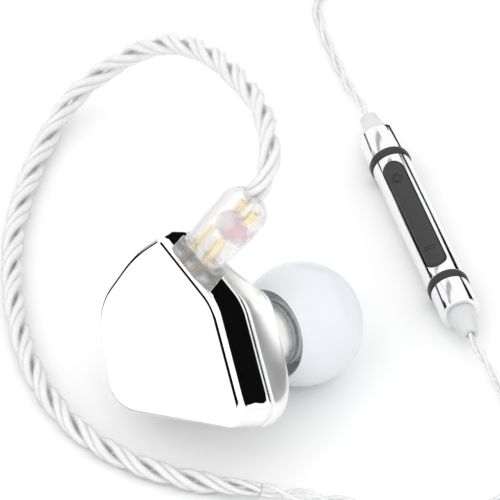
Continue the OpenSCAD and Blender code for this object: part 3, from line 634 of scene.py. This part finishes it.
lathe_piece("ear_tip", [
    # up the stem and along the inside of the flange
    (TIP_BORE_R, 3.27), (3.5, 3.26), (TIP_STEM_R, 3.34), (TIP_STEM_R, 8.6), (3.75, 9.25), (4.2, 10.1),
    (4.85, 10.75),
    *dome(TIP_R - TIP_SKIN, 36, -41, 30),
    # round the flange's edge and along its outside
    (4.78, 2.68), (4.86, 2.44), (5.0, 2.32),
    *dome(TIP_R, -42.4, 40, 34),
    # over the front and back through the sound bore
    (4.72, 11.5), (4.1, 11.72), (3.5, 11.76), (2.9, 11.66), (2.45, 11.4), (2.2, 11.05), (2.1, 10.6),
    (2.1, 7.7), (2.2, 7.66), (TIP_BORE_R, 7.66)], ON_NOZZLE, "silicone", 128, 70, "ear_tip")


# ---------------------------------------------------------------- plug of the ear-hook cable
def plug_housing():
    """The clear housing: it narrows towards the socket on one side only, and its top corners are rounded."""
    # height, and how much is taken off each side of the width and of the thickness
    foot = [(0.02, 0.46, 0.16), (0.06, 0.36, 0.06), (0.16, 0.3, 0), (1.5, 0.2, 0), (3, 0.1, 0),
            (PLUG_FULL_Y, 0, 0)]
    top_steps, edge_r, most_w, most_t = 13, 1.2, 2.1, 1.1
    sections = []
    for y, less_w, less_t in foot:
        place = ON_CONNECTOR @ shift(PLUG_TAPER / 2 * (y / PLUG_FULL_Y - 1), 0, 0)
        sections.append((place, less_w, less_t, y))
    for k in range(top_steps + 1):
        a = QUARTER * k / top_steps
        y = PLUG_L - PLUG_TOP_R * (1 - math.sin(a))
        less_w = PLUG_TOP_R * (1 - math.cos(a))
        less_t = edge_r - math.sqrt(max(0, edge_r ** 2 - max(0, y - PLUG_L + edge_r) ** 2))
        sections.append((ON_CONNECTOR, min(less_w, most_w), min(less_t, most_t), y))
    bm = bmesh.new()
    skin(bm, [rounded_section(place, PLUG_W - 2 * less_w, PLUG_T - 2 * less_t, PLUG_CORNER, y)
              for place, less_w, less_t, y in sections])
    return finish_mesh("plug_housing_look", bm, "clear_plastic", ("plug_housing",), 45, "plug")


def plug_pins():
    """The two gold pins, each with a fine collar above the socket."""
    profile = [(0, -PIN_REACH), (0.2, -PIN_REACH), (0.33, 0.1 - PIN_REACH), (PIN_R, 0.3 - PIN_REACH),
               (PIN_R, 0.6), (0.46, 0.65), (0.46, 0.95), (PIN_R, 1.0), (PIN_R, 3.05), (0.3, PIN_TOP),
               (0, PIN_TOP)]
    bm = bmesh.new()
    for side in (-1, 1):
        lathe(bm, profile, ON_CONNECTOR @ shift(PIN_SHIFT + side * PIN_PITCH / 2, 0, 0) @ turn("X", -90), 32)
    return finish_mesh("plug_pins_look", bm, "gold", ("plug_pins",), body="plug")


def plug_glue():
    """The lump of white and pink potting round the ends of the pins."""
    middle, size = Vector((0.4, 4.8, 0)), Vector((1.85, 1.5, 1.3))
    bm = bmesh.new()
    bmesh.ops.create_icosphere(bm, subdivisions=4, radius=1)
    for v in bm.verts:
        lump = 1 + 0.2 * noise.noise(v.co * 1.6 + Vector((3, 1, 5))) + 0.06 * noise.noise(v.co * 5)
        v.co = ON_CONNECTOR @ (middle + v.co * size * lump)
    return finish_mesh("plug_glue_look", bm, "glue", ("plug_glue",), 80, "plug")


def plug_crimps():
    """The two grooved gold sleeves on the ends of the strands."""
    profile = rounded([(0.3, 0), (0.52, 0, 0.05), (0.52, 0.45), (0.47, 0.5), (0.47, 0.7), (0.52, 0.75),
                       (0.52, 1.3, 0.05), (0.3, 1.3)], 3)
    bm = bmesh.new()
    for side in (-1, 1):
        place = ON_CONNECTOR @ shift(CRIMP_X + side * CRIMP_PITCH / 2, CRIMP_Y, 0) @ turn("X", -90)
        lathe(bm, profile, place, 32)
    return finish_mesh("plug_crimps_look", bm, "gold", ("plug_crimps",), body="plug")


def plug_tails():
    """The strands' ends inside the clear housing, from the rope to the crimps and on into the glue."""
    mouth = ON_CONNECTOR.inverted() @ Vector(HOOK_ROUTE[0])
    crimp = CRIMP_PITCH / 2
    bm = bmesh.new()
    for side in (-1, 1):
        route = ((mouth.x + side * 0.3, mouth.y + 0.1, mouth.z), (0.35 + side * 0.65, 7.8, 0),
                 (CRIMP_X + side * crimp, CRIMP_Y + 0.5, 0), (0.45 + side * crimp, 5.6, 0.1))
        line, at = spline([ON_CONNECTOR @ Vector(q) for q in route], 0.25)
        tube(bm, line, np.full(len(at), 0.26), 10)
    return finish_mesh("plug_tails", bm, "clear_jacket", (), 60, "plug", "wire_core")


plug_pieces = [plug_housing(), plug_pins(), plug_glue(), plug_crimps(), plug_tails()]


# ---------------------------------------------------------------- remote
def remote_end(x, side):
    """A frame on the remote's axis, x from its middle, that faces outward on one side."""
    return ON_REMOTE @ shift(side * x, 0, 0) @ turn("Y", side * 90)


def slot_ring(length, width, z, inset=0.0):
    """Outline of a slot along x, moved inward by inset; z is a height or a function of y."""
    arc, straight = 14, 16
    half, r = (length - width) / 2, width / 2 - inset
    out = []
    for side, first in ((1, -QUARTER), (-1, QUARTER)):
        for k in range(arc + 1):
            a = first + math.pi * k / arc
            out.append((side * half + r * math.cos(a), r * math.sin(a)))
        for k in range(1, straight):
            out.append((side * half * (1 - 2 * k / straight), r * side))
    return [ON_REMOTE @ Vector((x, y, z(y) if callable(z) else z)) for x, y in out]


RELIEF = [(0.5, 0), (1.62, 0), (1.64, 0.12), (1.56, 0.5), (1.42, 1.1), (1.24, 1.8), (1.1, 2.4), (1.02, 2.9),
          (1.0, 3.15), (0.93, 3.28), (0.8, 3.3), (0.5, 3.3)]
CAP = rounded([(0.7, 2.9), (0.7, CAP_L), (REMOTE_R, CAP_L, 0.14), (REMOTE_R, 0, 0.05), (1.85, 0),
               (1.85, -2.1), (1.2, -2.1), (1.2, 2.9)])
BAND = rounded([(BORE_R, 0.02), (REMOTE_R + 0.12, 0.02, 0.3), (REMOTE_R + 0.12, BAND_L - 0.02, 0.3),
                (BORE_R, BAND_L - 0.02)], 8)
for side, word in ((-1, "lower"), (1, "upper")):
    lathe_piece("remote_relief_" + word, RELIEF, remote_end(REMOTE_L / 2, side), "clear_jacket", 64, 50)
    lathe_piece("remote_cap_" + word, CAP, remote_end(BARREL_L / 2 + BAND_L, side), "satin_metal")
    lathe_piece("remote_ring_" + word, BAND, remote_end(BARREL_L / 2, side), "black_plastic")

# The barrel, cut out for the key pad on top and for the microphone below
barrel = lathe_piece("remote_barrel", rounded([
    (BORE_R, -BARREL_L / 2), (REMOTE_R, -BARREL_L / 2, 0.06), (REMOTE_R, BARREL_L / 2, 0.06),
    (BORE_R, BARREL_L / 2)]), remote_end(0, 1), "satin_metal", 144)
PAD_GAP, MICROPHONE_HOLE_R = 0.11, 0.3
bm = bmesh.new()
skin(bm, [slot_ring(PAD_L + 2 * PAD_GAP, PAD_W + 2 * PAD_GAP, z) for z in (0.4, 3)])
cut(barrel, bm)
bm = bmesh.new()
lathe(bm, [(0, -3), (MICROPHONE_HOLE_R, -3), (MICROPHONE_HOLE_R, -1), (0, -1)],
      ON_REMOTE @ shift(MICROPHONE_X, 0, 0), 24)
cut(barrel, bm)

PAD_R, PAD_EDGE, PAD_UNDER_R = REMOTE_R + 0.15, 0.28, 1.6


def pad_top(inset):
    """Height of the key pad's curved top, lower near its rounded edge, as a function of y."""
    drop = PAD_EDGE * (1 - math.sqrt(max(0, 1 - (1 - min(inset, PAD_EDGE) / PAD_EDGE) ** 2)))
    return lambda y: math.sqrt((PAD_R - drop) ** 2 - y * y)


def key_pad():
    """The curved pad, its two round feet and the two ribs that reach down to the switches."""
    rings = [slot_ring(PAD_L, PAD_W, lambda y: math.sqrt(PAD_UNDER_R ** 2 - y * y))]
    rings += [slot_ring(PAD_L, PAD_W, pad_top(inset), inset)
              for inset in (0, 0.02, 0.05, 0.1, 0.16, 0.22, PAD_EDGE, 0.45, 0.7, 0.95, 1.12)]
    bm = bmesh.new()
    skin(bm, rings)
    foot_x, foot_r, rib_half, rib_t, top = 6, 0.4, 0.5, 0.3, 1.7
    foot = [(0, 0.1), (foot_r - 0.04, 0.1), (foot_r, 0.14), (foot_r, top), (0, top)]
    for x in (-foot_x, foot_x):
        lathe(bm, foot, ON_REMOTE @ shift(x, 0, 0), 24)
    for y in (-0.8, 0.5):
        corners = ((-rib_half, y), (rib_half, y), (rib_half, y + rib_t), (-rib_half, y + rib_t))
        skin(bm, [[ON_REMOTE @ Vector((*corner, z)) for corner in corners] for z in (0.5, top)])
    finish_mesh("remote_key_pad_look", bm, "key_plastic", ("remote_key_pad",), 40, "key_pad")


def stroke(bm, corners, width=0.15, lift=0.012, sink=0.03, pieces=6):
    """A thin raised line round a closed polygon on the key pad: corners are (x, y) on the pad.
    Each side is made of several pieces, so that it follows the pad's curve."""
    p = [np.array(a, float) + (np.array(b, float) - np.array(a, float)) * k / pieces
         for a, b in zip(corners, corners[1:] + corners[:1]) for k in range(pieces)]
    rings = []
    for i, here in enumerate(p):
        d1, d2 = here - p[i - 1], p[(i + 1) % len(p)] - here
        d1, d2 = d1 / np.linalg.norm(d1), d2 / np.linalg.norm(d2)
        miter = np.array([-d1[1] - d2[1], d1[0] + d2[0]])
        miter /= miter.dot([-d1[1], d1[0]])
        inner, outer = here + miter * width / 2, here - miter * width / 2
        section = ((inner, -sink), (inner, lift), (outer, lift), (outer, -sink))
        rings.append([ON_REMOTE @ Vector((x, y, math.sqrt(PAD_R ** 2 - y * y) + up))
                      for (x, y), up in section])
    skin(bm, rings, loop=True)


def key_marks():
    """The outlines of a plus and a minus near the ends of the key pad."""
    mark_x, a, b = 5.6, 0.2, 0.56
    plus = [(a, a), (b, a), (b, -a), (a, -a), (a, -b), (-a, -b), (-a, -a), (-b, -a), (-b, a), (-a, a),
            (-a, b), (a, b)]
    minus = [(0.22, 0.52), (0.22, -0.52), (-0.22, -0.52), (-0.22, 0.52)]
    bm = bmesh.new()
    stroke(bm, [(mark_x + x, y) for x, y in plus])
    stroke(bm, [(-mark_x + x, y) for x, y in minus])
    finish_mesh("remote_key_marks", bm, "key_plastic", (), 20, "key_pad", "mark_print")


key_pad()
key_marks()

# ---------------------------------------------------------------- jack at the far end
# The relief: a ribbed cone that widens from the lead to the barrel
ridges = 10
cone = [(1.0 + 0.8 * k / ridges - (0.14 if k % 2 else 0), 0.3 + 5.4 * k / ridges) for k in range(ridges + 1)]
lathe_piece("jack_relief", [
    (0.5, 0), (0.95, 0), (1.0, 0.1), *cone, (1.8, JACK_RELIEF_L), (0.5, JACK_RELIEF_L)],
    ON_JACK, "clear_jacket", 48, 50)

# The barrel, with fine grooves for grip
GROOVE_R, GROOVE_PITCH, GROOVES_FROM = 2.62, 0.6, 4
grooves = []
for k in range(9):
    z = GROOVES_FROM + k * GROOVE_PITCH
    grooves += [(JACK_BODY_R, z), (GROOVE_R, z + 0.12), (GROOVE_R, z + 0.3), (JACK_BODY_R, z + 0.42)]
lathe_piece("jack_barrel", [
    (0.6, 0), (2.45, 0), (2.68, 0.12), (JACK_BODY_R, 0.35), *grooves, (JACK_BODY_R, JACK_BODY_L - 0.4),
    (2.68, JACK_BODY_L - 0.14), (2.45, JACK_BODY_L), (1.12, JACK_BODY_L), (1.12, JACK_BODY_L - 2),
    (2, JACK_BODY_L - 2), (2, 1), (0.6, 1)], ON_JACK @ shift(0, 0, JACK_RELIEF_L), "satin_metal")

# The contacts: a sleeve, two rings and the tip, with a thin black washer before each of the last three
CONTACTS = ON_JACK @ shift(0, 0, JACK_RELIEF_L + JACK_BODY_L)
WASHERS = [SLEEVE_L + k * (WASHER_L + CONTACT_L) for k in range(3)]
TIP_START = WASHERS[-1] + WASHER_L
CONTACT_BORE = JACK_CORE_R + 0.02
lathe_piece("jack_sleeve", rounded([
    (CONTACT_BORE, 0.01), (JACK_R, 0.01), (JACK_R, SLEEVE_L, 0.04), (CONTACT_BORE, SLEEVE_L)], 3),
    CONTACTS, "gold", 64)
bm = bmesh.new()
for z in [washer + WASHER_L for washer in WASHERS[:2]]:
    lathe(bm, rounded([(CONTACT_BORE, z), (JACK_R, z, 0.04), (JACK_R, z + CONTACT_L, 0.04),
                       (CONTACT_BORE, z + CONTACT_L)], 3), CONTACTS, 64)
finish_mesh("jack_rings_look", bm, "gold", ("jack_rings",))
bm = bmesh.new()
washer_r = JACK_R - 0.01
for z in WASHERS:
    lathe(bm, [(JACK_CORE_R, z), (washer_r, z), (washer_r, z + WASHER_L), (JACK_CORE_R, z + WASHER_L)],
          CONTACTS, 64)
lathe(bm, [(0, -3), (JACK_CORE_R, -3), (JACK_CORE_R, TIP_START), (0, TIP_START)], CONTACTS, 64)
finish_mesh("jack_insulators_look", bm, "black_plastic", ("jack_insulators",))
waist = [(JACK_R - 0.5 * math.sin(QUARTER * k / 6), TIP_START + 0.5 + 0.6 * (1 - math.cos(QUARTER * k / 6)))
         for k in range(1, 7)]
lathe_piece("jack_tip", [(0, TIP_START), (JACK_R, TIP_START), (JACK_R, TIP_START + 0.5), *waist, (1.25, 12.8),
                         (1.42, 13.05), (1.56, 13.3), (1.54, 13.5), (1.4, 13.66), (0.9, 13.86), (0.4, 13.97),
                         (0, JACK_L)], CONTACTS, "gold", 64, 40)


# ---------------------------------------------------------------- floor, cards and light, in metres
FLOOR_SIZE = 8
bm = bmesh.new()
bmesh.ops.create_grid(bm, x_segments=1, y_segments=1, size=0.5)
floor = add_object("floor", bm)
floor.scale = (FLOOR_SIZE, FLOOR_SIZE, 1)
floor.data.materials.append(M["floor"])


def card(name, rows, look="card"):
    """A sheet through rows of points, that isn't part of the object and that only reflections see."""
    bm = bmesh.new()
    made = [[bm.verts.new(p) for p in row] for row in rows]
    for low, high in zip(made, made[1:]):
        for k in range(len(low) - 1):
            bm.faces.new((low[k], low[k + 1], high[k + 1], high[k]))
    sheet = add_object(name, bm)
    sheet.data.materials.append(M[look])
    sheet.visible_camera = sheet.visible_diffuse = sheet.visible_shadow = False
    sheet.visible_transmission = sheet.visible_volume_scatter = False


def wall(name, radius, start, end, first_height, last_height, steps=24):
    """A dark wall on the floor, on an arc round the origin; start and end are in degrees from +x."""
    foot, top = [], []
    for k in range(steps + 1):
        a = math.radians(start + (end - start) * k / steps)
        x, y = radius * math.cos(a), radius * math.sin(a)
        foot.append((x, y, 0))
        top.append((x, y, first_height + (last_height - first_height) * k / steps))
    card(name, [foot, top])


def sky_arc(start, end, radius=0.6, steps=16):
    """Points on a sphere round the origin, from one direction to another."""
    u, v = Vector(start).normalized(), Vector(end).normalized()
    bend = u.angle(v)
    scale = radius / math.sin(bend)
    return [(math.sin(bend * (1 - k / steps)) * u + math.sin(bend * k / steps) * v) * scale
            for k in range(steps + 1)]


# Near walls, from the right round to the back
NEAR, FAR = 0.13, 0.3
wall("wall_right", NEAR, 12, 45, 0.058, 0.055)
wall("wall_corner", NEAR, 45, 58, 0.055, 0.02)
wall("wall_low", NEAR, 58, 66, 0.02, 0.02)
wall("wall_back", NEAR, 66, 90, 0.036, 0.036)
# Walls further off, on the left
wall("wall_left", FAR, 155, 180, 0.09, 0.1)
wall("wall_left_low", FAR, 120, 155, 0.03, 0.045)
# A dark fan overhead on the left, and a narrow grey arc from the left to the back, for the remote
card("fan_left", [sky_arc((-0.93, -0.16, 0.33), (-0.62, -0.05, 0.78)),
                  sky_arc((-0.925, -0.26, 0.29), (-0.60, -0.32, 0.73)),
                  sky_arc((-0.91, -0.34, 0.33), (-0.28, -0.47, 0.83))])
ARC_START, ARC_END = Vector((-0.76, 0.33, 0.56)), Vector((-0.16, 0.70, 0.69))
half_width = ARC_START.cross(ARC_END).normalized() * 0.055
card("arc_remote", [sky_arc(ARC_START + side * half_width, ARC_END + side * half_width) for side in (-1, 1)],
     "pale_card")

world = bpy.data.worlds.new("studio")
bpy.context.scene.world = world
world.use_nodes = True
background = world.node_tree.nodes["Background"]
background.inputs["Color"].default_value = (1, 1, 1, 1)
background.inputs["Strength"].default_value = 1.1

key = bpy.data.lights.new("key", "AREA")
key.shape, key.size, key.energy = "DISK", 1.4, 1.5
lamp = add_object("key", key)
lamp.location = (-0.35, -0.25, 0.8)
lamp.rotation_euler = lamp.location.to_track_quat("Z", "Y").to_euler()
lamp.visible_camera = False

bpy.context.scene.view_settings.view_transform = "Standard"
